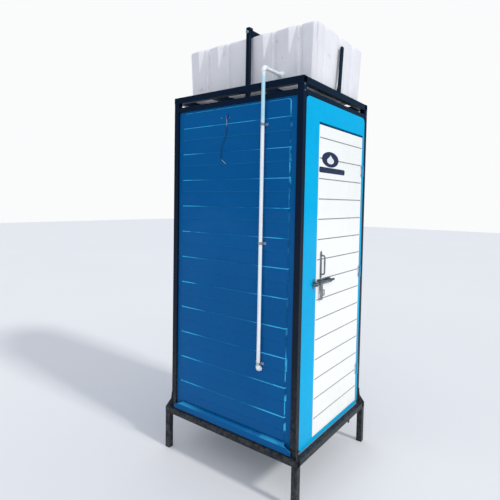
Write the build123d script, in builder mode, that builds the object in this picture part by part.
"""Portable shower cabin: steel cage on legs, moulded panels, a door and a water tank on the roof.

Millimetres. Facing the door, X runs right, Y runs away to the back and Z runs up.
The origin is on the ground, in the middle of the cage.
"""
from build123d import *
import math
import os

os.makedirs("parts", exist_ok=True)

# ---------------------------------------------------------------- driving dimensions
# Cage of square steel tube
cage_width = 900.0
cage_depth = 988.0
frame_height = 2400.0
leg_height = 248.0
base_overhang = 30.0
tube = 38.0
tube_wall = 2.0
tube_corner = 3.0
ring_gap = 30.0
lower_ring_height = 30.0
gusset_height = 105.0
gusset_thickness = 6.0
floor_bearer_y = 165.0
tank_bearer_y = 191.0
tank_bearer_shift = -15.0
leg_plug = 4.0

# Moulded panels
sheet = 4.0
field_relief = 5.0
band_relief = 10.0
ledge_angle = 40.0
wall_setback = 14.0
panel_gap = 0.5
field_margin = 42.0
field_top_margin = 12.0
field_foot = 56.0
field_corner = 20.0
band_height = 89.0
band_count = 11
band_end = 6.5
band_top_drop = 106.0
band_foot = 202.5
roof_thickness = 4.0

# Front surround and its door
surround_setback = 1.0
surround_corner = 35.0
left_jamb_width = 157.0
right_jamb_width = 27.0
opening_foot = 70.0
opening_head = 220.0
door_gap = 3.0
door_head_gap = 14.0
door_setback = 2.0
door_thickness = 32.0
stop_lip = 12.0
stop_lip_depth = 6.0
stop_clearance = 1.0
groove_count = 15
groove_top_drop = 73.5
groove_foot = 106.9
groove_width = 7.0
groove_depth = 3.0
groove_margin = 9.0

# Door furniture
hinge_radius = 6.0
hinge_pin_radius = 3.0
hinge_leaf = 2.5
hinge_leaf_width = 18.0
hinge_height = 75.0
hinge_inset = 230.0
pin_clearance = 0.05
handle_inset = 59.0
handle_rise = 1028.5
handle_plate_height = 163.0
handle_plate_width = 22.0
handle_plate = 2.5
handle_reach = 26.0
handle_span = 112.0
handle_bar = 10.0
latch_rise = 925.0
latch_reach = 48.0
latch_length = 261.0
latch_diameter = 15.0
latch_standoff = 14.0
slide_clearance = 0.35
collar_radius = 10.3
collar_width = 4.0
hasp_inset = 38.0
hasp_width = 27.0
hasp_drop = 104.0
hasp_thickness = 3.0
guide_width = 12.0
guide_wall = 4.0
left_guide_inset = 22.0
right_guide_inset = 167.0
latch_plate_height = 34.0
staple_inset = 87.0
staple_drop = 67.0
staple_width = 26.0
staple_height = 36.0
staple_bar = 4.5
staple_standoff = 8.0
keeper_reach = 25.0
ear_thickness = 4.0
ear_clearance = 1.0

# Floor
pan_thickness = 6.0
pan_upstand = 50.0
skirt_height = 55.0
skirt_proud = 16.0
skirt_front_inset = 24.0
skirt_back_inset = 39.0
skirt_bevel = 11.0
skirt_end_drop = 24.0
skirt_end_run = 60.0
drain_inset = 216.0
drain_lip = 3.0
drain_pipe_radius = 25.0
drain_flange_radius = 55.0
drain_drop = 106.0
drain_neck = 1.0
drain_neck_height = 10.0
grate_radius = 46.0

# Water tank and what holds it down
tank_left_margin = 165.0
tank_right_margin = 72.0
tank_front_margin = 18.0
tank_height = 350.0
tank_draft = 2.0
tank_wall = 5.0
tank_corner = 26.0
tank_edge = 14.0
tank_groove_radius = 13.0
tank_groove_depth = 7.0
tank_side_groove_share = 0.1785
tank_side_groove_shift = -39.0
tank_front_groove_shares = (-0.332, -0.045, 0.254)
manhole_radius = 150.0
manhole_inset = 279.0
neck_height = 14.0
neck_wall = 12.0
lid_radius = 172.0
lid_height = 20.0
hold_down_tube = 26.0
hold_down_y = -12.0
hold_down_rise = 50.0
hold_down_gap = 6.0
hold_down_cap = 10.0
hold_down_rest = 2.0
stop_bar_width = 28.0
stop_bar_thickness = 11.0
stop_bar_height = 282.0
stop_bar_lean = 28.0
stop_bar_flare = 16.0
stop_bar_flare_height = 34.0
bolt_head = 8.0
bolt_head_radius = 11.0
bolt_end = 6.0
bolt_radius = 5.0
tab_inset = 197.0
tab_width = 18.0
tab_drop = 34.0
tab_thickness = 6.0
ring_bolt_radius = 4.5
ring_bolt_head = 2.5
lug_radius = 8.0
lug_pin = 3.0
lug_half_width = 34.0
lug_slot_half_width = 20.0
lid_tongue_half_width = 19.0

# Water pipes
pipe_radius = 10.7
pipe_wall = 2.6
socket_wall = 3.6
socket_length = 22.0
glue_gap = 0.1
pipe_standoff = 3.0
outside_pipe_y = -240.0
outlet_height = 78.0
tap_row = 1.5
tap_share = 0.6724
top_clip_drop = 244.0
middle_clip_rise = 741.0
low_clip_rise = 34.0
clip_width = 15.0
clip_thickness = 2.0
clip_ear = 15.0
screw_radius = 4.0
screw_head = 2.5
riser_standoff = 36.0
shower_drop = 217.0
valve_offset = 110.0
valve_half = 26.0
valve_stem_radius = 6.0
lever_thickness = 6.0
head_radius = 100.0
head_drop = 58.0
lever_length = 120.0
lever_y = -44.0
pull_rod_length = 560.0
pull_rod_radius = 4.0
pull_handle_size = 130.0

# Lamp on the inside of the pipe-side wall, and the flex that feeds it
lamp_y = 51.0
lamp_drop = 74.0
lamp_length = 110.0
lamp_width = 62.0
lamp_screw_spread = 62.0
gland_y = 40.0
gland_above_lamp = 4.0
gland_reach = 15.0
gland_drop = 8.0
flex_diameter = 3.5

# ---------------------------------------------------------------- worked-out places
half_width = cage_width / 2
half_depth = cage_depth / 2
base_top = leg_height + tube
base_middle = leg_height + tube / 2
ring_x = half_width + base_overhang - tube / 2
ring_y = half_depth + base_overhang - tube / 2
post_x = half_width - tube / 2
post_y = half_depth - tube / 2
inside_x = half_width - tube
inside_y = half_depth - tube
upper_ring_bottom = frame_height - tube
upper_ring_middle = frame_height - tube / 2
lower_ring_top = upper_ring_bottom - ring_gap
lower_ring_bottom = lower_ring_top - lower_ring_height
lower_ring_middle = (lower_ring_top + lower_ring_bottom) / 2
panel_bottom = base_top + pan_thickness
panel_top = lower_ring_bottom - panel_gap
panel_height = panel_top - panel_bottom
panel_middle = (panel_top + panel_bottom) / 2
wall_x = half_width - wall_setback
wall_y = half_depth - wall_setback
band_pitch = (panel_height - band_top_drop - band_foot) / (band_count - 1)
front_face = -half_depth + surround_setback
door_face = -half_depth + door_setback
door_back = door_face + door_thickness
stop_face = door_back + stop_clearance
surround_back = stop_face + stop_lip_depth
surround_depth = surround_back - front_face
# The tray and the roof end clear of the surround's lip and of the posts, whichever is nearer.
tray_x = wall_x - sheet - panel_gap
tray_y = min(-surround_back - panel_gap, inside_y - panel_gap)
opening_left = -inside_x + left_jamb_width
opening_right = inside_x - right_jamb_width
opening_bottom = leg_height + opening_foot
opening_top = frame_height - opening_head
door_left = opening_left + door_gap
door_right = opening_right - door_gap
door_bottom = opening_bottom + door_gap
door_top = opening_top - door_head_gap
door_middle_x = (door_left + door_right) / 2
door_middle_z = (door_top + door_bottom) / 2
hinge_x = opening_right - door_gap / 2
hinge_y = front_face - hinge_leaf - hinge_radius + 1.5
handle_x = opening_left + handle_inset
handle_z = opening_bottom + handle_rise
latch_radius = latch_diameter / 2
latch_y = door_face - latch_standoff
latch_z = opening_bottom + latch_rise
latch_left = opening_left - latch_reach
latch_right = latch_left + latch_length
hasp_left = opening_left + hasp_inset
hasp_right = hasp_left + hasp_width
left_guide_x = opening_left + left_guide_inset
right_guide_x = opening_left + right_guide_inset
staple_x = opening_left + staple_inset
staple_z = latch_z - staple_drop
keeper_x = opening_left - keeper_reach
drain_y = inside_y - drain_inset
skirt_front = half_depth - skirt_front_inset
skirt_back = half_depth - skirt_back_inset
tank_left = -half_width + tank_left_margin
tank_right = half_width - tank_right_margin
tank_front = -half_depth + tank_front_margin
tank_back = half_depth + base_overhang
hold_down_left = tank_left - hold_down_gap - hold_down_tube / 2
hold_down_right = inside_x - hold_down_tube / 2
tank_top = frame_height + tank_height
tank_x = (tank_left + tank_right) / 2
tank_y = (tank_front + tank_back) / 2
tank_width = tank_right - tank_left
tank_depth = tank_back - tank_front
manhole_y = tank_back - manhole_inset
hold_down_top = tank_top + hold_down_rise
outlet_z = frame_height + outlet_height
pipe_bore = pipe_radius - pipe_wall
socket_radius = pipe_radius + socket_wall
# The pipe goes through the flat between two bands, below its middle by a share of the room beside the socket.
band_gap_room = (band_pitch - band_height) / 2 - socket_radius
tap_z = panel_bottom + band_foot + tap_row * band_pitch - tap_share * band_gap_room
outside_pipe_x = -(half_width + pipe_radius + pipe_standoff)
inside_pipe_x = -(wall_x - riser_standoff)
valve_x = inside_pipe_x + valve_offset
shower_z = lower_ring_bottom - shower_drop
clip_heights = (frame_height - top_clip_drop, tap_z + middle_clip_rise, tap_z + low_clip_rise)
lamp_z = lower_ring_bottom - lamp_drop
gland_z = lamp_z + gland_above_lamp


def save(piece, name):
    """Label a finished piece and write it as its own file."""
    piece.part.label = name
    export_step(piece.part, f"parts/{name}.step")


def tube_section(width=tube, height=tube):
    """The square ring of a hollow tube, for the sketch it is called in."""
    RectangleRounded(width, height, tube_corner)
    inner_corner = tube_corner - tube_wall
    RectangleRounded(width - 2 * tube_wall, height - 2 * tube_wall, inner_corner, mode=Mode.SUBTRACT)


# ---------------------------------------------------------------- cage
with BuildPart() as legs:
    with BuildSketch():
        with GridLocations(2 * ring_x, 2 * ring_y, 2, 2):
            RectangleRounded(tube, tube, tube_corner)
    extrude(amount=leg_plug)
    with BuildSketch(Plane.XY.offset(leg_plug)):
        with GridLocations(2 * ring_x, 2 * ring_y, 2, 2):
            tube_section()
    extrude(amount=leg_height - leg_plug)
save(legs, "legs")

with BuildPart() as base_ring_sides:
    with BuildSketch(Plane.XZ):
        with Locations((-ring_x, base_middle), (ring_x, base_middle)):
            tube_section()
    extrude(amount=half_depth + base_overhang, both=True)
save(base_ring_sides, "base_ring_sides")

tab_x = half_width - tab_inset
with BuildPart() as base_ring_ends:
    with BuildSketch(Plane.YZ):
        with Locations((-ring_y, base_middle), (ring_y, base_middle)):
            tube_section()
    extrude(amount=ring_x - tube / 2, both=True)
    # A small lashing tab is welded under the front tube.
    with BuildSketch(Plane.XZ.offset(ring_y)):
        with Locations((tab_x, leg_height - tab_drop / 2)):
            Rectangle(tab_width, tab_drop)
            Circle(tab_width / 4, mode=Mode.SUBTRACT)
    extrude(amount=tab_thickness / 2, both=True)
save(base_ring_ends, "base_ring_ends")

with BuildPart() as corner_posts:
    with BuildSketch(Plane.XY.offset(base_top)):
        with GridLocations(2 * post_x, 2 * post_y, 2, 2):
            tube_section()
    extrude(amount=upper_ring_bottom - base_top)
save(corner_posts, "corner_posts")

# A gusset stands on each corner of the base ring, on the diagonal, against the post's outer corner.
gusset_reach = base_overhang * math.sqrt(2)
with BuildPart() as corner_gussets:
    for side_x in (-1, 1):
        for side_y in (-1, 1):
            foot = Vector(side_x * half_width, side_y * half_depth, base_top)
            outward = Vector(side_x, side_y, 0)
            with BuildSketch(Plane(origin=foot, x_dir=outward, z_dir=outward.cross(Vector(0, 0, 1)))):
                with BuildLine():
                    Polyline((0, 0), (gusset_reach - tube_corner, 0), (gusset_thickness, gusset_height / 2),
                             (0, gusset_height), close=True)
                make_face()
            extrude(amount=gusset_thickness / 2, both=True)
save(corner_gussets, "corner_gussets")

with BuildPart() as lower_ring_sides:
    with BuildSketch(Plane.XZ):
        with Locations((-post_x, lower_ring_middle), (post_x, lower_ring_middle)):
            tube_section(height=lower_ring_height)
    extrude(amount=inside_y, both=True)
save(lower_ring_sides, "lower_ring_sides")

with BuildPart() as lower_ring_ends:
    with BuildSketch(Plane.YZ):
        with Locations((-post_y, lower_ring_middle), (post_y, lower_ring_middle)):
            tube_section(height=lower_ring_height)
    extrude(amount=inside_x, both=True)
save(lower_ring_ends, "lower_ring_ends")

with BuildPart() as upper_ring_sides:
    with BuildSketch(Plane.XZ):
        with Locations((-post_x, upper_ring_middle), (post_x, upper_ring_middle)):
            tube_section()
    extrude(amount=half_depth, both=True)
save(upper_ring_sides, "upper_ring_sides")

with BuildPart() as upper_ring_ends:
    with BuildSketch(Plane.YZ):
        with Locations((-post_y, upper_ring_middle), (post_y, upper_ring_middle)):
            tube_section()
    extrude(amount=inside_x, both=True)
save(upper_ring_ends, "upper_ring_ends")

# Two bearers carry the tank, one below them the hold-down posts, and two more the floor.
with BuildPart() as cross_bearers:
    with BuildSketch(Plane.YZ):
        with Locations((-floor_bearer_y, base_middle), (floor_bearer_y, base_middle)):
            tube_section()
    extrude(amount=ring_x - tube / 2, both=True)
    with BuildSketch(Plane.YZ):
        with Locations((tank_bearer_shift - tank_bearer_y, upper_ring_middle),
                       (tank_bearer_shift + tank_bearer_y, upper_ring_middle)):
            tube_section()
        with Locations((hold_down_y, lower_ring_middle)):
            tube_section(height=lower_ring_height)
    extrude(amount=inside_x, both=True)
save(cross_bearers, "cross_bearers")

with BuildPart() as hold_down_posts:
    with BuildSketch(Plane.XY.offset(lower_ring_top)):
        with Locations((hold_down_left, hold_down_y), (hold_down_right, hold_down_y)):
            tube_section(hold_down_tube, hold_down_tube)
    extrude(amount=hold_down_top - lower_ring_top)
save(hold_down_posts, "hold_down_posts")

bar_bottom = tank_top + hold_down_rest
bar_height = hold_down_top - hold_down_cap - bar_bottom
bar_middle = bar_bottom + bar_height / 2
bar_start = hold_down_left + hold_down_tube / 2
bar_end = hold_down_right - hold_down_tube / 2
with BuildPart() as hold_down_bar:
    with BuildSketch(Plane.YZ.offset(bar_start)):
        with Locations((hold_down_y, bar_middle)):
            tube_section(hold_down_tube, bar_height)
    extrude(amount=bar_end - bar_start)
save(hold_down_bar, "hold_down_bar")

# One bolt head on the outer face of each hold-down post.
with BuildPart() as hold_down_bolts:
    for side, face_x in ((-1, hold_down_left - hold_down_tube / 2), (1, hold_down_right + hold_down_tube / 2)):
        with BuildSketch(Plane(origin=(face_x, hold_down_y, bar_middle), z_dir=(side, 0, 0))):
            RegularPolygon(radius=bolt_head_radius, side_count=6)
        extrude(amount=bolt_head)
        with BuildSketch(Plane(origin=(face_x + side * bolt_head, hold_down_y, bar_middle), z_dir=(side, 0, 0))):
            Circle(bolt_radius)
        extrude(amount=bolt_end)
save(hold_down_bolts, "hold_down_bolts")

# The stop bar stands on the front ring and leans slightly to the right.
with BuildPart() as tank_stop_bar:
    with BuildSketch(Plane.XZ.offset(half_depth - stop_bar_thickness)):
        with BuildLine():
            half_bar = stop_bar_width / 2
            foot_z = frame_height
            top_z = frame_height + stop_bar_height
            Polyline((-half_bar - stop_bar_flare, foot_z), (half_bar, foot_z), (half_bar + stop_bar_lean, top_z),
                     (-half_bar + stop_bar_lean, top_z), (-half_bar + 3, foot_z + stop_bar_flare_height), close=True)
        make_face()
    extrude(amount=stop_bar_thickness)
save(tank_stop_bar, "tank_stop_bar")

# Bolts through each corner post, on its front or back face, at the height of the two upper rings.
ring_bolt_places = [(-post_x - 8, upper_ring_bottom - 8), (-post_x - 3, lower_ring_middle + 4),
                    (post_x + 8, upper_ring_bottom - 8), (post_x + 3, lower_ring_middle + 4)]
with BuildPart() as ring_bolts:
    for side in (-1, 1):
        with BuildSketch(Plane(origin=(0, side * half_depth, 0), x_dir=(1, 0, 0), z_dir=(0, side, 0))):
            with Locations(*[(x, -side * z) for x, z in ring_bolt_places]):
                Circle(ring_bolt_radius)
        extrude(amount=ring_bolt_head)
save(ring_bolts, "ring_bolts")

# ---------------------------------------------------------------- moulded walls


def wall_panel(plane, width, holes=()):
    """One wall: a flat sheet with a raised field and raised bands, hollow behind them.

    The plane's normal points out of the cabin, its x runs along the wall and its y is height.
    """
    field_width = width - 2 * field_margin
    field_height = panel_height - field_top_margin - field_foot
    field_middle = panel_bottom + field_foot + field_height / 2
    bands = [(0, panel_top - band_top_drop - band_height / 2 - row * band_pitch) for row in range(band_count)]
    run = field_width + 2 * band_end
    ledge = band_relief * math.tan(math.radians(ledge_angle))
    inner = plane.offset(-sheet)
    with BuildPart() as wall:
        with BuildSketch(plane):
            with Locations((0, panel_middle)):
                Rectangle(width, panel_height)
        extrude(amount=-sheet)
        with BuildSketch(plane):
            with Locations((0, field_middle)):
                RectangleRounded(field_width, field_height, field_corner)
        extrude(amount=field_relief, taper=ledge_angle)
        with BuildSketch(plane):
            with Locations(*bands):
                RectangleRounded(run, band_height, field_corner / 2)
        extrude(amount=band_relief, taper=ledge_angle)
        with BuildSketch(inner):
            with Locations((0, field_middle)):
                RectangleRounded(field_width - 2 * sheet - ledge, field_height - 2 * sheet - ledge, field_corner)
        extrude(amount=field_relief, mode=Mode.SUBTRACT)
        with BuildSketch(inner):
            with Locations(*bands):
                RectangleRounded(run - 4 * sheet - 2 * ledge, band_height - 2 * sheet - 2 * ledge, field_corner / 2)
        extrude(amount=band_relief, mode=Mode.SUBTRACT)
        for along, height, radius in holes:
            with BuildSketch(inner):
                with Locations((along, height)):
                    Circle(radius)
            extrude(amount=2 * sheet + band_relief, mode=Mode.SUBTRACT)
    return wall


side_width = 2 * (inside_y - panel_gap)
back_width = 2 * (inside_x - panel_gap)
left_plane = Plane(origin=(-wall_x, 0, 0), x_dir=(0, -1, 0), z_dir=(-1, 0, 0))
right_plane = Plane(origin=(wall_x, 0, 0), x_dir=(0, 1, 0), z_dir=(1, 0, 0))
back_plane = Plane(origin=(0, wall_y, 0), x_dir=(-1, 0, 0), z_dir=(0, 1, 0))

pipe_hole = (-outside_pipe_y, tap_z, pipe_radius + 0.6)
flex_hole = (-gland_y, gland_z, flex_diameter / 2 + 1.5)
left_wall = wall_panel(left_plane, side_width, holes=(pipe_hole, flex_hole))
save(left_wall, "left_wall")
right_wall = wall_panel(right_plane, side_width)
save(right_wall, "right_wall")
back_wall = wall_panel(back_plane, back_width)
save(back_wall, "back_wall")

roof_z = panel_top - roof_thickness
with BuildPart() as roof_panel:
    with BuildSketch(Plane.XY.offset(roof_z)):
        Rectangle(2 * tray_x, 2 * tray_y)
    extrude(amount=roof_thickness)
save(roof_panel, "roof_panel")

# ---------------------------------------------------------------- front surround
surround_width = 2 * (inside_x - panel_gap)
opening_width = opening_right - opening_left
opening_height = opening_top - opening_bottom
opening_x = (opening_left + opening_right) / 2
opening_z = (opening_top + opening_bottom) / 2
lip_top = door_top + door_gap - stop_lip
lip_bottom = opening_bottom + stop_lip
with BuildPart() as front_surround:
    with BuildSketch(Plane.XZ.offset(-front_face)):
        with Locations((0, panel_middle)):
            RectangleRounded(surround_width, panel_height, surround_corner)
        with Locations((opening_x, opening_z)):
            Rectangle(opening_width, opening_height, mode=Mode.SUBTRACT)
    extrude(amount=-surround_depth)
    # The moulding is a channel, open at the back.
    with BuildSketch(Plane.XZ.offset(-surround_back)):
        with Locations((0, panel_middle)):
            RectangleRounded(surround_width - 2 * sheet, panel_height - 2 * sheet, surround_corner - sheet)
        with Locations((opening_x, opening_z)):
            Rectangle(opening_width + 2 * sheet, opening_height + 2 * sheet, mode=Mode.SUBTRACT)
    extrude(amount=surround_depth - sheet, mode=Mode.SUBTRACT)
    # A lip behind the door stops it.
    with BuildSketch(Plane.XZ.offset(-stop_face)):
        with Locations((opening_x, opening_z)):
            Rectangle(opening_width + 2 * sheet, opening_height + 2 * sheet)
        with Locations((opening_x, (lip_top + lip_bottom) / 2)):
            Rectangle(opening_width - 2 * stop_lip, lip_top - lip_bottom, mode=Mode.SUBTRACT)
    extrude(amount=stop_face - surround_back)
save(front_surround, "front_surround")

# ---------------------------------------------------------------- floor
with BuildPart() as floor_pan:
    with BuildSketch(Plane.XY.offset(base_top)):
        Rectangle(cage_width, cage_depth)
        with GridLocations(2 * post_x, 2 * post_y, 2, 2):
            Rectangle(tube + 2 * panel_gap, tube + 2 * panel_gap, mode=Mode.SUBTRACT)
        with Locations((0, drain_y)):
            Circle(drain_pipe_radius + panel_gap, mode=Mode.SUBTRACT)
    extrude(amount=pan_thickness)
    with BuildSketch(Plane.XY.offset(panel_bottom)):
        RectangleRounded(2 * tray_x, 2 * tray_y - 2 * panel_gap, 4)
        RectangleRounded(2 * (tray_x - sheet), 2 * (tray_y - sheet - panel_gap), 2, mode=Mode.SUBTRACT)
        # The upstand is left out across the doorway.
        with Locations((opening_x, -tray_y)):
            Rectangle(opening_width, 4 * sheet, mode=Mode.SUBTRACT)
    extrude(amount=pan_upstand)
save(floor_pan, "floor_pan")

# The skirts cap the feet of the two side walls and stand out over the base ring.
skirt_top = base_top + skirt_height
skirt_x = half_width + skirt_proud
with BuildPart() as pan_skirts:
    with BuildSketch(Plane.XZ):
        with BuildLine():
            Polyline((-skirt_x, panel_bottom), (-skirt_x, skirt_top - skirt_bevel), (-skirt_x + skirt_bevel, skirt_top),
                     (-wall_x, skirt_top), (-wall_x, skirt_top - sheet), (-skirt_x + skirt_bevel, skirt_top - sheet),
                     (-skirt_x + sheet, skirt_top - skirt_bevel - sheet / 2), (-skirt_x + sheet, panel_bottom),
                     close=True)
        make_face()
    extrude(amount=skirt_front, both=True)
    mirror(about=Plane.YZ)
    # Seen from the side, each skirt's top edge drops towards both ends.
    with BuildSketch(Plane.YZ):
        with BuildLine():
            Polyline((-skirt_front, panel_bottom), (-skirt_front, skirt_top - skirt_end_drop),
                     (-skirt_front + skirt_end_run, skirt_top), (skirt_back - skirt_end_run, skirt_top),
                     (skirt_back, skirt_top - skirt_end_drop), (skirt_back, panel_bottom), close=True)
        make_face()
    extrude(amount=skirt_x, both=True, mode=Mode.INTERSECT)
save(pan_skirts, "pan_skirts")

with BuildPart() as drain_body:
    with BuildSketch(Plane.XY.offset(panel_bottom)):
        with Locations((0, drain_y)):
            Circle(drain_flange_radius)
    extrude(amount=2 * drain_lip)
    # A slimmer neck passes the pan, and the hose's barrel starts just below it.
    with BuildSketch(Plane.XY.offset(panel_bottom)):
        with Locations((0, drain_y)):
            Circle(drain_pipe_radius - drain_neck)
    extrude(amount=-drain_neck_height)
    with BuildSketch(Plane.XY.offset(panel_bottom - drain_neck_height)):
        with Locations((0, drain_y)):
            Circle(drain_pipe_radius)
    extrude(amount=drain_neck_height - drain_drop)
    with BuildSketch(Plane.XY.offset(panel_bottom + drain_lip)):
        with Locations((0, drain_y)):
            Circle(grate_radius + panel_gap)
    extrude(amount=drain_lip, mode=Mode.SUBTRACT)
    with BuildSketch(Plane.XY.offset(panel_bottom + drain_lip)):
        with Locations((0, drain_y)):
            Circle(drain_pipe_radius - 3)
    extrude(amount=-drain_drop - drain_lip, mode=Mode.SUBTRACT)
save(drain_body, "drain_body")

with BuildPart() as drain_grate:
    with BuildSketch(Plane.XY.offset(panel_bottom + drain_lip)):
        with Locations((0, drain_y)):
            Circle(grate_radius)
            with PolarLocations(grate_radius * 0.6, 10):
                SlotOverall(grate_radius * 0.5, 5, mode=Mode.SUBTRACT)
    extrude(amount=drain_lip)
save(drain_grate, "drain_grate")

# ---------------------------------------------------------------- door
door_width = door_right - door_left
door_height = door_top - door_bottom
groove_top = door_top - groove_top_drop
groove_pitch = (door_height - groove_top_drop - groove_foot) / (groove_count - 1)
with BuildPart() as door_panel:
    with BuildSketch(Plane.XZ.offset(-door_face)):
        with Locations((door_middle_x, door_middle_z)):
            RectangleRounded(door_width, door_height, 4)
    extrude(amount=-door_thickness)
    with BuildSketch(Plane.YZ.offset(door_left + groove_margin)):
        for row in range(groove_count):
            z = groove_top - row * groove_pitch
            with BuildLine():
                Polyline((door_face - 1, z + groove_width / 2), (door_face, z + groove_width / 2),
                         (door_face + groove_depth, z), (door_face, z - groove_width / 2),
                         (door_face - 1, z - groove_width / 2), close=True)
            make_face()
    extrude(amount=door_width - 2 * groove_margin, mode=Mode.SUBTRACT)
save(door_panel, "door_panel")

# Three butt hinges: the door's leaves carry the middle knuckle, the jamb's leaves the outer two.
hinge_heights = [door_bottom + hinge_inset, door_middle_z, door_top - hinge_inset]
knuckle = hinge_height / 3
knuckle_gap = 0.4
leaf_clear = hinge_radius + 1.5


def hinge_leaves(face_y, side, spans):
    """Leaves on one side of the hinge line, each with the knuckles given by their low and high ends."""
    with BuildPart() as leaves:
        for middle in hinge_heights:
            with BuildSketch(Plane.XY.offset(middle - hinge_height / 2)):
                with Locations((hinge_x + side * (leaf_clear + hinge_leaf_width) / 2 + side * leaf_clear / 2,
                                face_y - hinge_leaf / 2)):
                    Rectangle(hinge_leaf_width, hinge_leaf)
            extrude(amount=hinge_height)
            for low, high in spans:
                with BuildSketch(Plane.XY.offset(middle + low)):
                    with Locations((hinge_x, hinge_y)):
                        Circle(hinge_radius)
                    with Locations((hinge_x + side * leaf_clear / 2, face_y - hinge_leaf / 2)):
                        Rectangle(leaf_clear + 1, hinge_leaf)
                extrude(amount=high - low)
        with BuildSketch(Plane.XY.offset(hinge_heights[0] - hinge_height)):
            with Locations((hinge_x, hinge_y)):
                Circle(hinge_pin_radius + pin_clearance)
        extrude(amount=hinge_heights[-1] - hinge_heights[0] + 2 * hinge_height, mode=Mode.SUBTRACT)
    return leaves


door_span = [(-knuckle / 2 + knuckle_gap, knuckle / 2 - knuckle_gap)]
jamb_spans = [(-hinge_height / 2, -knuckle / 2), (knuckle / 2, hinge_height / 2)]
door_hinge_leaves = hinge_leaves(door_face, -1, door_span)
save(door_hinge_leaves, "door_hinge_leaves")
jamb_hinge_leaves = hinge_leaves(front_face, 1, jamb_spans)
save(jamb_hinge_leaves, "jamb_hinge_leaves")

with BuildPart() as hinge_pins:
    for middle in hinge_heights:
        with BuildSketch(Plane.XY.offset(middle - hinge_height / 2)):
            with Locations((hinge_x, hinge_y)):
                Circle(hinge_pin_radius)
        extrude(amount=hinge_height)
        with BuildSketch(Plane.XY.offset(middle + hinge_height / 2)):
            with Locations((hinge_x, hinge_y)):
                Circle(hinge_radius - 1)
        extrude(amount=2)
save(hinge_pins, "hinge_pins")

# Pull handle: a back plate with a round bar standing off it.
plate_face = door_face - handle_plate
bar_y = door_face - handle_reach
handle_low = handle_z - handle_span / 2
handle_high = handle_z + handle_span / 2
with BuildPart() as door_handle:
    with BuildSketch(Plane.XZ.offset(-door_face)):
        with Locations((handle_x, handle_z)):
            RectangleRounded(handle_plate_width, handle_plate_height, handle_plate_width / 2 - 1)
    extrude(amount=handle_plate)
    with BuildLine():
        handle_path = FilletPolyline((handle_x, plate_face + 1, handle_low), (handle_x, bar_y, handle_low),
                                     (handle_x, bar_y, handle_high), (handle_x, plate_face + 1, handle_high), radius=12)
    with BuildSketch(Plane(origin=handle_path @ 0, z_dir=handle_path % 0)):
        Circle(handle_bar / 2)
    sweep(path=handle_path)
save(door_handle, "door_handle")

with BuildPart() as handle_screws:
    screw_offset = handle_plate_height / 2 - 12
    with BuildSketch(Plane.XZ.offset(-plate_face)):
        with Locations((handle_x, handle_z - screw_offset), (handle_x, handle_z + screw_offset)):
            Circle(screw_radius)
    extrude(amount=screw_head)
save(handle_screws, "handle_screws")

# Latch: a round rod in two guides on the door, with a hasp that hangs from it.
with BuildPart() as latch_guides:
    plate_left = left_guide_x - guide_width / 2 - 6
    plate_right = right_guide_x + guide_width / 2 + 10
    with BuildSketch(Plane.XZ.offset(-door_face)):
        with Locations(((plate_left + plate_right) / 2, latch_z)):
            RectangleRounded(plate_right - plate_left, latch_plate_height, 5)
    extrude(amount=handle_plate)
    for guide_x in (left_guide_x, right_guide_x):
        with BuildSketch(Plane.YZ.offset(guide_x - guide_width / 2)):
            with Locations((latch_y, latch_z)):
                Circle(latch_radius + guide_wall)
            with Locations(((latch_y + door_face) / 2, latch_z)):
                Rectangle(door_face - latch_y, 2 * (latch_radius + guide_wall))
        extrude(amount=guide_width)
    with BuildSketch(Plane.YZ.offset(plate_left - 1)):
        with Locations((latch_y, latch_z)):
            Circle(latch_radius + slide_clearance)
    extrude(amount=plate_right - plate_left + 2, mode=Mode.SUBTRACT)
save(latch_guides, "latch_guides")

with BuildPart() as latch_rod:
    with BuildSketch(Plane.YZ.offset(latch_left)):
        with Locations((latch_y, latch_z)):
            Circle(latch_radius)
    extrude(amount=latch_right - latch_left)
    chamfer(latch_rod.faces().sort_by(Axis.X)[0].edges(), length=2)
    for collar_x in (hasp_left - slide_clearance - collar_width, hasp_right + slide_clearance):
        with BuildSketch(Plane.YZ.offset(collar_x)):
            with Locations((latch_y, latch_z)):
                Circle(collar_radius)
        extrude(amount=collar_width)
save(latch_rod, "latch_rod")

hasp_eye = collar_radius + 0.5
with BuildPart() as latch_hasp:
    with BuildSketch(Plane.YZ.offset(hasp_left)):
        with Locations((latch_y, latch_z)):
            Circle(hasp_eye)
        with Locations((latch_y, latch_z - hasp_drop / 2)):
            Rectangle(hasp_thickness, hasp_drop)
    extrude(amount=hasp_width)
    with BuildSketch(Plane.YZ.offset(hasp_left - 1)):
        with Locations((latch_y, latch_z)):
            Circle(latch_radius + slide_clearance)
    extrude(amount=hasp_width + 2, mode=Mode.SUBTRACT)
    with BuildSketch(Plane.XZ.offset(-latch_y)):
        with Locations((hasp_left + hasp_width / 2, latch_z - hasp_drop + 34)):
            SlotOverall(26, 10, rotation=90)
    extrude(amount=hasp_thickness, both=True, mode=Mode.SUBTRACT)
    fillet(latch_hasp.edges().filter_by(Axis.Y).group_by(Axis.Z)[0], radius=8)
save(latch_hasp, "latch_hasp")

# The padlock staple is a square loop on two short feet, close to the door.
staple_face = door_face - staple_standoff
with BuildPart() as padlock_staple:
    with BuildSketch(Plane.XZ.offset(-staple_face + staple_bar / 2)):
        with Locations((staple_x, staple_z)):
            RectangleRounded(staple_width, staple_height, 3)
            Rectangle(staple_width - 2 * staple_bar, staple_height - 2 * staple_bar, mode=Mode.SUBTRACT)
    extrude(amount=-staple_bar)
    with BuildSketch(Plane.XZ.offset(-door_face)):
        with Locations((staple_x, staple_z + (staple_height - staple_bar) / 2),
                       (staple_x, staple_z - (staple_height - staple_bar) / 2)):
            Rectangle(staple_bar, staple_bar)
    extrude(amount=door_face - staple_face)
save(padlock_staple, "padlock_staple")

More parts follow.
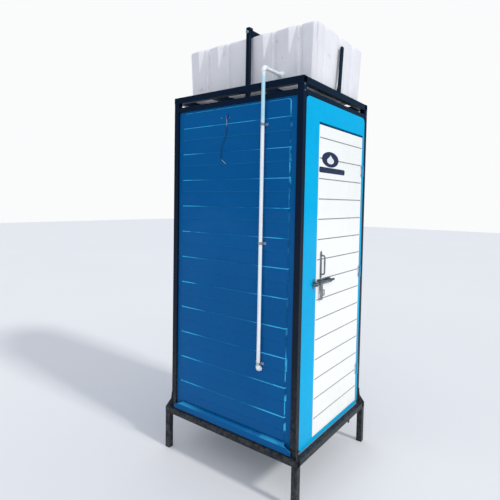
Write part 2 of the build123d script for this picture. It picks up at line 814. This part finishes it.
# Two ears on the jamb take the end of the rod between them.
ear_gap = latch_radius + ear_clearance
ear_reach = latch_y - latch_radius - 3
with BuildPart() as jamb_keeper:
    with BuildSketch(Plane.XZ.offset(-front_face)):
        with Locations((keeper_x, latch_z)):
            RectangleRounded(26, 56, 4)
    extrude(amount=handle_plate)
    with BuildSketch(Plane.XZ.offset(-front_face)):
        with Locations((keeper_x, latch_z + ear_gap + ear_thickness / 2),
                       (keeper_x, latch_z - ear_gap - ear_thickness / 2)):
            Rectangle(20, ear_thickness)
    extrude(amount=front_face - ear_reach)
save(jamb_keeper, "jamb_keeper")

# ---------------------------------------------------------------- tank
draft_run = tank_height * math.tan(math.radians(tank_draft))


def tank_block(inset):
    """The tank's tapered block, smaller all round by the inset."""
    width = tank_width - 2 * draft_run - 2 * inset
    depth = tank_depth - 2 * draft_run - 2 * inset
    with BuildPart() as block:
        with BuildSketch(Plane.XY.offset(frame_height + inset)):
            with Locations((tank_x, tank_y)):
                RectangleRounded(width, depth, tank_corner - inset)
        extrude(amount=tank_height - 2 * inset, taper=-tank_draft)
        ends = block.faces().filter_by(Axis.Z)
        fillet(ends.edges(), radius=tank_edge - inset)
    return block


tank_outside = tank_block(0)
tank_inside = tank_block(tank_wall)
groove_offset = tank_groove_radius - tank_groove_depth
groove_places = []
for step in (-2, -1, 0, 1, 2):
    groove_y = tank_y + tank_side_groove_shift + step * tank_side_groove_share * tank_depth
    groove_places += [(tank_left - groove_offset, groove_y), (tank_right + groove_offset, groove_y)]
for share in tank_front_groove_shares:
    groove_x = tank_x + share * tank_width
    groove_places += [(groove_x, tank_front - groove_offset), (groove_x, tank_back + groove_offset)]
# The wall keeps its thickness behind each groove, so the hollow has the same grooves, one wall deeper.
with BuildPart() as tank_hollow:
    add(tank_inside.part)
    with BuildSketch(Plane.XY.offset(frame_height)):
        with Locations(*groove_places):
            Circle(tank_groove_radius + tank_wall)
    extrude(amount=tank_height, mode=Mode.SUBTRACT)
with BuildPart() as tank_shell:
    add(tank_outside.part)
    with BuildSketch(Plane.XY.offset(frame_height)):
        with Locations(*groove_places):
            Circle(tank_groove_radius)
    extrude(amount=tank_height, mode=Mode.SUBTRACT)
    with BuildSketch(Plane.XY.offset(tank_top - tank_edge)):
        with Locations((tank_x, manhole_y)):
            Circle(manhole_radius + neck_wall)
    extrude(amount=tank_edge + neck_height)
    add(tank_hollow.part, mode=Mode.SUBTRACT)
    with BuildSketch(Plane.XY.offset(tank_top - 2 * tank_edge)):
        with Locations((tank_x, manhole_y)):
            Circle(manhole_radius)
    extrude(amount=2 * tank_edge + neck_height, mode=Mode.SUBTRACT)
    with BuildSketch(Plane.YZ.offset(tank_left - tank_edge)):
        with Locations((outside_pipe_y, outlet_z)):
            Circle(socket_radius + glue_gap)
    extrude(amount=3 * tank_edge, mode=Mode.SUBTRACT)
    # Hinge lugs for the lid, on the back of the neck.
    lug_y = manhole_y + lid_radius + 10
    lug_z = tank_top + neck_height + 2
    with BuildSketch(Plane.YZ.offset(tank_x)):
        with Locations((lug_y, lug_z)):
            Circle(lug_radius)
        with BuildLine():
            Polyline((lug_y - lug_radius, lug_z), (lug_y + lug_radius, lug_z), (lug_y + lug_radius, tank_top - 3),
                     (lug_y - 2 * lug_radius, tank_top - 3), (lug_y - 2 * lug_radius, tank_top + 2), close=True)
        make_face()
        with Locations((lug_y, lug_z)):
            Circle(lug_pin + pin_clearance, mode=Mode.SUBTRACT)
    extrude(amount=lug_half_width, both=True)
    with BuildSketch(Plane.YZ.offset(tank_x)):
        with Locations((lug_y, lug_z + lug_radius - 2)):
            Rectangle(8 * lug_radius, 3.5 * lug_radius)
    extrude(amount=lug_slot_half_width, both=True, mode=Mode.SUBTRACT)
save(tank_shell, "tank_shell")

lid_bottom = tank_top + neck_height + 0.5
with BuildPart() as tank_lid:
    with BuildSketch(Plane.XY.offset(lid_bottom)):
        with Locations((tank_x, manhole_y)):
            Circle(lid_radius)
    extrude(amount=lid_height)
    fillet(tank_lid.edges().group_by(Axis.Z)[-1], radius=6)
    with BuildSketch(Plane.XY.offset(lid_bottom)):
        with Locations((tank_x, manhole_y)):
            Circle(lid_radius - 6)
    extrude(amount=lid_height - 6, mode=Mode.SUBTRACT)
    # A tongue at the back holds the hinge eye.
    with BuildSketch(Plane.YZ.offset(tank_x)):
        with Locations((lug_y, lug_z)):
            Circle(lug_radius)
        with BuildLine():
            Polyline((manhole_y + lid_radius - 5, lid_bottom), (lug_y, lug_z - lug_radius + 1),
                     (lug_y, lug_z + lug_radius), (manhole_y + lid_radius - 5, lid_bottom + 11), close=True)
        make_face()
        with Locations((lug_y, lug_z)):
            Circle(lug_pin + pin_clearance, mode=Mode.SUBTRACT)
    extrude(amount=lid_tongue_half_width, both=True)
save(tank_lid, "tank_lid")

with BuildPart() as lid_pin:
    with BuildSketch(Plane.YZ.offset(tank_x)):
        with Locations((lug_y, lug_z)):
            Circle(lug_pin)
    extrude(amount=lug_half_width + 2, both=True)
save(lid_pin, "lid_pin")

# ---------------------------------------------------------------- pipework


def round_bar(start, end, radius, bore=0.0):
    """A straight round bar or pipe between two points."""
    run = Vector(*end) - Vector(*start)
    with BuildPart() as bar:
        with BuildSketch(Plane(origin=start, z_dir=run)):
            Circle(radius)
            if bore:
                Circle(bore, mode=Mode.SUBTRACT)
        extrude(amount=run.length)
    return bar


def elbow(corner, first, second):
    """A socket elbow about its corner, with a socket along each of two unit directions."""
    middle = Vector(*corner)
    ends = [middle + Vector(*way) * socket_length for way in (first, second)]
    with BuildPart() as fitting:
        with BuildLine():
            bend = FilletPolyline(ends[0], middle, ends[1], radius=socket_radius + 1)
        with BuildSketch(Plane(origin=bend @ 0, z_dir=bend % 0)):
            Circle(socket_radius)
        sweep(path=bend)
        for end, way in zip(ends, (first, second)):
            with BuildSketch(Plane(origin=end, z_dir=Vector(*way) * -1)):
                Circle(pipe_radius + glue_gap)
            extrude(amount=socket_length - pipe_radius, mode=Mode.SUBTRACT)
            with BuildSketch(Plane(origin=end, z_dir=Vector(*way) * -1)):
                Circle(pipe_bore)
            extrude(amount=socket_length, mode=Mode.SUBTRACT)
    return fitting


socket_stop = pipe_radius
top_corner = (outside_pipe_x, outside_pipe_y, outlet_z)
low_corner = (outside_pipe_x, outside_pipe_y, tap_z)
top_elbow = elbow(top_corner, (1, 0, 0), (0, 0, -1))
save(top_elbow, "top_elbow")
lower_elbow = elbow(low_corner, (0, 0, 1), (1, 0, 0))
save(lower_elbow, "lower_elbow")

# The tank fitting: a threaded tube through the tank wall with a flange outside and a nut inside.
tank_face_x = tank_left + draft_run * (1 - outlet_height / tank_height)
fitting_start = tank_face_x - 34.0
fitting_end = tank_face_x + 24.0
nut_thickness = 9.0
flange_thickness = 5.0
with BuildPart() as tank_outlet:
    with BuildSketch(Plane.YZ.offset(fitting_start)):
        with Locations((outside_pipe_y, outlet_z)):
            Circle(socket_radius)
    extrude(amount=fitting_end - fitting_start)
    with BuildSketch(Plane.YZ.offset(tank_face_x - flange_thickness)):
        with Locations((outside_pipe_y, outlet_z)):
            Circle(socket_radius + 9)
    extrude(amount=flange_thickness)
    with BuildSketch(Plane.YZ.offset(tank_face_x - flange_thickness - nut_thickness)):
        with Locations((outside_pipe_y, outlet_z)):
            RegularPolygon(radius=socket_radius + 6, side_count=6)
    extrude(amount=nut_thickness)
    with BuildSketch(Plane.YZ.offset(tank_face_x + tank_wall + 1)):
        with Locations((outside_pipe_y, outlet_z)):
            RegularPolygon(radius=socket_radius + 8, side_count=6)
    extrude(amount=nut_thickness)
    with BuildSketch(Plane.YZ.offset(fitting_start)):
        with Locations((outside_pipe_y, outlet_z)):
            Circle(pipe_radius + glue_gap)
    extrude(amount=16, mode=Mode.SUBTRACT)
    with BuildSketch(Plane.YZ.offset(fitting_start)):
        with Locations((outside_pipe_y, outlet_z)):
            Circle(pipe_bore)
    extrude(amount=fitting_end - fitting_start, mode=Mode.SUBTRACT)
save(tank_outlet, "tank_outlet")

outlet_pipe = round_bar((outside_pipe_x + socket_stop, outside_pipe_y, outlet_z),
                        (fitting_start + 16, outside_pipe_y, outlet_z), pipe_radius, pipe_bore)
save(outlet_pipe, "outlet_pipe")
drop_pipe = round_bar((outside_pipe_x, outside_pipe_y, tap_z + socket_stop),
                      (outside_pipe_x, outside_pipe_y, outlet_z - socket_stop), pipe_radius, pipe_bore)
save(drop_pipe, "drop_pipe")

# Saddle clips: a strap over the pipe with an ear on each side, screwed to the wall.
strap_inner = pipe_radius + glue_gap
strap_outer = strap_inner + clip_thickness
ear_outer = -(wall_x + band_relief)
with BuildPart() as pipe_clips:
    for clip_z in clip_heights:
        with BuildSketch(Plane.XY.offset(clip_z - clip_width / 2)):
            with Locations((outside_pipe_x, outside_pipe_y)):
                Circle(strap_outer)
            with Locations(((outside_pipe_x + ear_outer) / 2, outside_pipe_y)):
                Rectangle(ear_outer - outside_pipe_x, 2 * strap_outer)
            with Locations((ear_outer - clip_thickness / 2, outside_pipe_y)):
                Rectangle(clip_thickness, 2 * (strap_outer + clip_ear))
            with Locations((outside_pipe_x, outside_pipe_y)):
                Circle(strap_inner, mode=Mode.SUBTRACT)
            with Locations((outside_pipe_x + strap_outer, outside_pipe_y)):
                Rectangle(2 * strap_outer, 2 * strap_inner, mode=Mode.SUBTRACT)
        extrude(amount=clip_width)
save(pipe_clips, "pipe_clips")

# Round-headed screws: two at each clip, and two that hold the lamp from outside.
clip_screw_reach = strap_outer + clip_ear / 2
lamp_face = -(wall_x + field_relief)
clip_screws = [(side * clip_screw_reach - outside_pipe_y, z) for z in clip_heights for side in (-1, 1)]
lamp_screws = [(side * lamp_screw_spread / 2 - lamp_y, lamp_z) for side in (-1, 1)]
with BuildPart() as wall_screws:
    for face_x, places in ((ear_outer - clip_thickness, clip_screws), (lamp_face, lamp_screws)):
        with BuildSketch(Plane(origin=(face_x, 0, 0), x_dir=(0, -1, 0), z_dir=(-1, 0, 0))):
            with Locations(*places):
                Circle(screw_radius)
        extrude(amount=screw_head)
save(wall_screws, "wall_screws")

# Inside: a tee with the bib tap on it, a run along the wall, a riser, and an arm to the shower head.
tee_corner = (inside_pipe_x, outside_pipe_y, tap_z)
with BuildPart() as inside_tee:
    with BuildSketch(Plane.YZ.offset(inside_pipe_x - socket_length)):
        with Locations((outside_pipe_y, tap_z)):
            Circle(socket_radius)
    extrude(amount=2 * socket_length)
    with BuildSketch(Plane.XZ.offset(-outside_pipe_y)):
        with Locations((inside_pipe_x, tap_z)):
            Circle(socket_radius - glue_gap)
    extrude(amount=-socket_length)
    for way in ((-1, 0, 0), (1, 0, 0), (0, 1, 0)):
        with BuildSketch(Plane(origin=Vector(*tee_corner) + Vector(*way) * socket_length, z_dir=Vector(*way) * -1)):
            Circle(pipe_radius + glue_gap)
        extrude(amount=socket_length - socket_stop, mode=Mode.SUBTRACT)
        with BuildSketch(Plane(origin=Vector(*tee_corner) + Vector(*way) * socket_length, z_dir=Vector(*way) * -1)):
            Circle(pipe_bore)
        extrude(amount=socket_length - socket_stop / 4, mode=Mode.SUBTRACT)
save(inside_tee, "inside_tee")

riser_foot = (inside_pipe_x, 0, tap_z)
riser_head = (inside_pipe_x, 0, shower_z)
foot_elbow = elbow(riser_foot, (0, -1, 0), (0, 0, 1))
head_elbow = elbow(riser_head, (0, 0, -1), (1, 0, 0))
drop_elbow = elbow((0, 0, shower_z), (-1, 0, 0), (0, 0, -1))
with BuildPart() as inside_elbows:
    add(foot_elbow.part)
    add(head_elbow.part)
    add(drop_elbow.part)
save(inside_elbows, "inside_elbows")

nipple = round_bar((outside_pipe_x + socket_stop, outside_pipe_y, tap_z),
                   (inside_pipe_x - socket_stop, outside_pipe_y, tap_z), pipe_radius, pipe_bore)
wall_run = round_bar((inside_pipe_x, outside_pipe_y + socket_stop, tap_z),
                     (inside_pipe_x, -socket_stop, tap_z), pipe_radius, pipe_bore)
riser = round_bar((inside_pipe_x, 0, tap_z + socket_stop),
                  (inside_pipe_x, 0, shower_z - socket_stop), pipe_radius, pipe_bore)
arm_start = round_bar((inside_pipe_x + socket_stop, 0, shower_z), (valve_x - valve_half, 0, shower_z),
                      pipe_radius, pipe_bore)
arm_end = round_bar((valve_x + valve_half, 0, shower_z), (-socket_stop, 0, shower_z), pipe_radius, pipe_bore)
with BuildPart() as inside_pipes:
    for pipe in (nipple, wall_run, riser, arm_start, arm_end):
        add(pipe.part)
save(inside_pipes, "inside_pipes")

# Riser brackets hold the riser off the wall.
bracket_heights = (tap_z + 318, shower_z - 385)
wall_inner_x = -(wall_x - sheet)
with BuildPart() as riser_brackets:
    for bracket_z in bracket_heights:
        with BuildSketch(Plane.XY.offset(bracket_z - clip_width / 2)):
            with Locations((inside_pipe_x, 0)):
                Circle(strap_outer + 1)
            with Locations(((inside_pipe_x + wall_inner_x) / 2, 0)):
                Rectangle(inside_pipe_x - wall_inner_x, 12)
            with Locations((wall_inner_x + 1.5, 0)):
                Rectangle(3, 60)
            with Locations((inside_pipe_x, 0)):
                Circle(strap_inner, mode=Mode.SUBTRACT)
        extrude(amount=clip_width)
save(riser_brackets, "riser_brackets")

# Bib tap: it screws into the tee and its spout turns down.
tap_start = inside_pipe_x + socket_stop
tap_body_x = tap_start + 46.0
tap_radius = 12.0
spout_x = tap_body_x + 42.0
stem_radius = 6.0
stem_top = tap_z + 30.0
with BuildPart() as tap_body:
    with BuildSketch(Plane.YZ.offset(tap_start)):
        with Locations((outside_pipe_y, tap_z)):
            Circle(pipe_bore - 0.5)
    extrude(amount=tap_body_x - tap_start)
    with BuildSketch(Plane.YZ.offset(inside_pipe_x + socket_length)):
        with Locations((outside_pipe_y, tap_z)):
            RegularPolygon(radius=socket_radius, side_count=6)
    extrude(amount=9)
    with BuildSketch(Plane.XY.offset(tap_z - tap_radius - 2)):
        with Locations((tap_body_x, outside_pipe_y)):
            Circle(tap_radius + 2)
    extrude(amount=2 * tap_radius + 8)
    with BuildLine():
        spout = FilletPolyline((tap_body_x, outside_pipe_y, tap_z), (spout_x, outside_pipe_y, tap_z),
                               (spout_x, outside_pipe_y, tap_z - 44), radius=22)
    with BuildSketch(Plane(origin=spout @ 0, z_dir=spout % 0)):
        Circle(tap_radius - 1)
    sweep(path=spout)
    with BuildSketch(Plane.XY.offset(tap_z - 44)):
        with Locations((spout_x, outside_pipe_y)):
            Circle(tap_radius - 4)
    extrude(amount=26, mode=Mode.SUBTRACT)
    with BuildSketch(Plane.XY.offset(tap_z)):
        with Locations((tap_body_x, outside_pipe_y)):
            Circle(stem_radius)
    extrude(amount=stem_top - tap_z)
save(tap_body, "tap_body")

tap_hub_bottom = tap_z + tap_radius + 6.4
with BuildPart() as tap_lever:
    with BuildSketch(Plane.XY.offset(tap_hub_bottom)):
        with Locations((tap_body_x, outside_pipe_y)):
            Circle(stem_radius + 5)
        with Locations((tap_body_x + 32, outside_pipe_y)):
            SlotOverall(62, 12)
    extrude(amount=8)
    with BuildSketch(Plane.XY.offset(tap_hub_bottom - 1)):
        with Locations((tap_body_x, outside_pipe_y)):
            Circle(stem_radius + pin_clearance)
    extrude(amount=10, mode=Mode.SUBTRACT)
save(tap_lever, "tap_lever")

# Shower valve: a ball valve in the arm, turned by a lever that is pulled down.
stem_front = lever_y - lever_thickness - 4
with BuildPart() as shower_valve:
    with BuildSketch(Plane.YZ.offset(valve_x - valve_half)):
        with Locations((0, shower_z)):
            Circle(pipe_radius + 6)
    extrude(amount=2 * valve_half)
    with BuildSketch(Plane.XZ):
        with Locations((valve_x, shower_z)):
            Circle(16)
    extrude(amount=-lever_y - 6)
    with BuildSketch(Plane.XZ):
        with Locations((valve_x, shower_z)):
            Circle(valve_stem_radius)
    extrude(amount=-stem_front)
    with BuildSketch(Plane.YZ.offset(valve_x - valve_half)):
        with Locations((0, shower_z)):
            Circle(pipe_bore)
    extrude(amount=2 * valve_half, mode=Mode.SUBTRACT)
save(shower_valve, "shower_valve")

lever_end_x = valve_x + lever_length
with BuildPart() as valve_lever:
    with BuildSketch(Plane.XZ.offset(-lever_y)):
        with Locations((valve_x, shower_z)):
            Circle(15)
        with Locations((valve_x + lever_length / 2, shower_z)):
            SlotCenterToCenter(lever_length, 18)
        with Locations((valve_x, shower_z)):
            Circle(valve_stem_radius + pin_clearance, mode=Mode.SUBTRACT)
    extrude(amount=lever_thickness)
    # A pin at the lever's end carries the pull rod.
    with BuildSketch(Plane.XZ.offset(-lever_y + lever_thickness)):
        with Locations((lever_end_x, shower_z)):
            Circle(3)
    extrude(amount=12)
save(valve_lever, "valve_lever")

rod_y = lever_y - lever_thickness - 6.0
rod_bottom = shower_z - pull_rod_length
with BuildPart() as pull_rod:
    with BuildSketch(Plane.XZ.offset(-rod_y - 4)):
        with Locations((lever_end_x, shower_z)):
            Circle(8)
    extrude(amount=8)
    with BuildSketch(Plane.XY.offset(rod_bottom)):
        with Locations((lever_end_x, rod_y)):
            Circle(pull_rod_radius)
    extrude(amount=pull_rod_length)
    with BuildSketch(Plane.XZ.offset(-rod_y - 10)):
        with Locations((lever_end_x, shower_z)):
            Circle(3 + pin_clearance)
    extrude(amount=20, mode=Mode.SUBTRACT)
save(pull_rod, "pull_rod")

half_handle = pull_handle_size / 2
handle_foot = rod_bottom - pull_handle_size * 0.85
handle_strip = 12.0
with BuildPart() as pull_handle:
    with BuildSketch(Plane.XZ.offset(-rod_y - 4)) as triangle:
        with BuildLine():
            Polyline((lever_end_x, rod_bottom + 9), (lever_end_x - half_handle, handle_foot),
                     (lever_end_x + half_handle, handle_foot), close=True)
        make_face()
        fillet(triangle.vertices(), radius=handle_strip)
        offset(amount=-handle_strip, mode=Mode.SUBTRACT)
    extrude(amount=8)
    # A boss on the corner meets the foot of the rod.
    with BuildSketch(Plane.XY.offset(rod_bottom - handle_strip)):
        with Locations((lever_end_x, rod_y)):
            Circle(pull_rod_radius + 2)
    extrude(amount=handle_strip)
save(pull_handle, "pull_handle")

head_top = shower_z - head_drop
with BuildPart() as shower_head:
    with BuildSketch(Plane.XY.offset(head_top - 12)):
        Circle(pipe_bore + 6)
    extrude(amount=shower_z - socket_length - head_top + 12)
    with BuildSketch(Plane.XY.offset(head_top - 22)):
        Circle(head_radius)
    extrude(amount=14, taper=35)
    with BuildSketch(Plane.XY.offset(head_top - 30)):
        Circle(head_radius)
    extrude(amount=8)
    with BuildSketch(Plane.XY.offset(head_top - 12)):
        Circle(pipe_bore)
    extrude(amount=head_drop, mode=Mode.SUBTRACT)
save(shower_head, "shower_head")

# ---------------------------------------------------------------- lamp and flex
with BuildPart() as lamp_base:
    with BuildSketch(Plane(origin=(wall_inner_x, 0, 0), x_dir=(0, 1, 0), z_dir=(1, 0, 0))):
        with Locations((lamp_y, lamp_z)):
            RectangleRounded(lamp_length, lamp_width, 10)
    extrude(amount=14)
save(lamp_base, "lamp_base")

with BuildPart() as lamp_lens:
    with BuildSketch(Plane(origin=(wall_inner_x + 14, 0, 0), x_dir=(0, 1, 0), z_dir=(1, 0, 0))):
        with Locations((lamp_y, lamp_z)):
            RectangleRounded(lamp_length - 6, lamp_width - 6, 9)
    extrude(amount=24)
    fillet(lamp_lens.faces().sort_by(Axis.X)[-1].edges(), radius=8)
save(lamp_lens, "lamp_lens")

# The gland on the wall turns the flex straight down.
flex_x = lamp_face - gland_reach / 2 - 1
gland_bottom = gland_z - gland_drop
with BuildPart() as flex_gland:
    with BuildSketch(Plane.XY.offset(gland_bottom)):
        with Locations((lamp_face - gland_reach / 2, gland_y)):
            Rectangle(gland_reach, 14)
    extrude(amount=18)
    fillet(flex_gland.faces().sort_by(Axis.X)[0].edges(), radius=4)
save(flex_gland, "flex_gland")

# The flex hangs in front of the wall; each point is its shift along the wall and its drop from the gland.
flex_route = [(0.0, 0.0), (-7.0, 49.0), (3.0, 106.0), (17.0, 134.0), (36.0, 164.0), (42.0, 202.0),
              (41.0, 240.0), (24.0, 264.0), (1.0, 278.0)]
flex_points = [Vector(flex_x, gland_y + shift, gland_bottom - drop) for shift, drop in flex_route]
flex_runs = [after - before for before, after in zip(flex_points, flex_points[1:])]
flex_radii = [0.45 * min(before.length, after.length) / math.tan(math.radians(before.get_angle(after) / 2))
              for before, after in zip(flex_runs, flex_runs[1:])]
with BuildPart() as supply_flex:
    with BuildLine():
        flex_line = FilletPolyline(*flex_points, radius=flex_radii)
    with BuildSketch(Plane(origin=flex_line @ 0, z_dir=flex_line % 0)):
        Circle(flex_diameter / 2)
    sweep(path=flex_line)
save(supply_flex, "supply_flex")
flex_section = math.pi * flex_diameter ** 2 / 4
print("flex bend radii:", [round(radius) for radius in flex_radii])
print("flex length:", round(flex_line.length), "volume check:",
      round(supply_flex.part.volume / (flex_section * flex_line.length), 3))
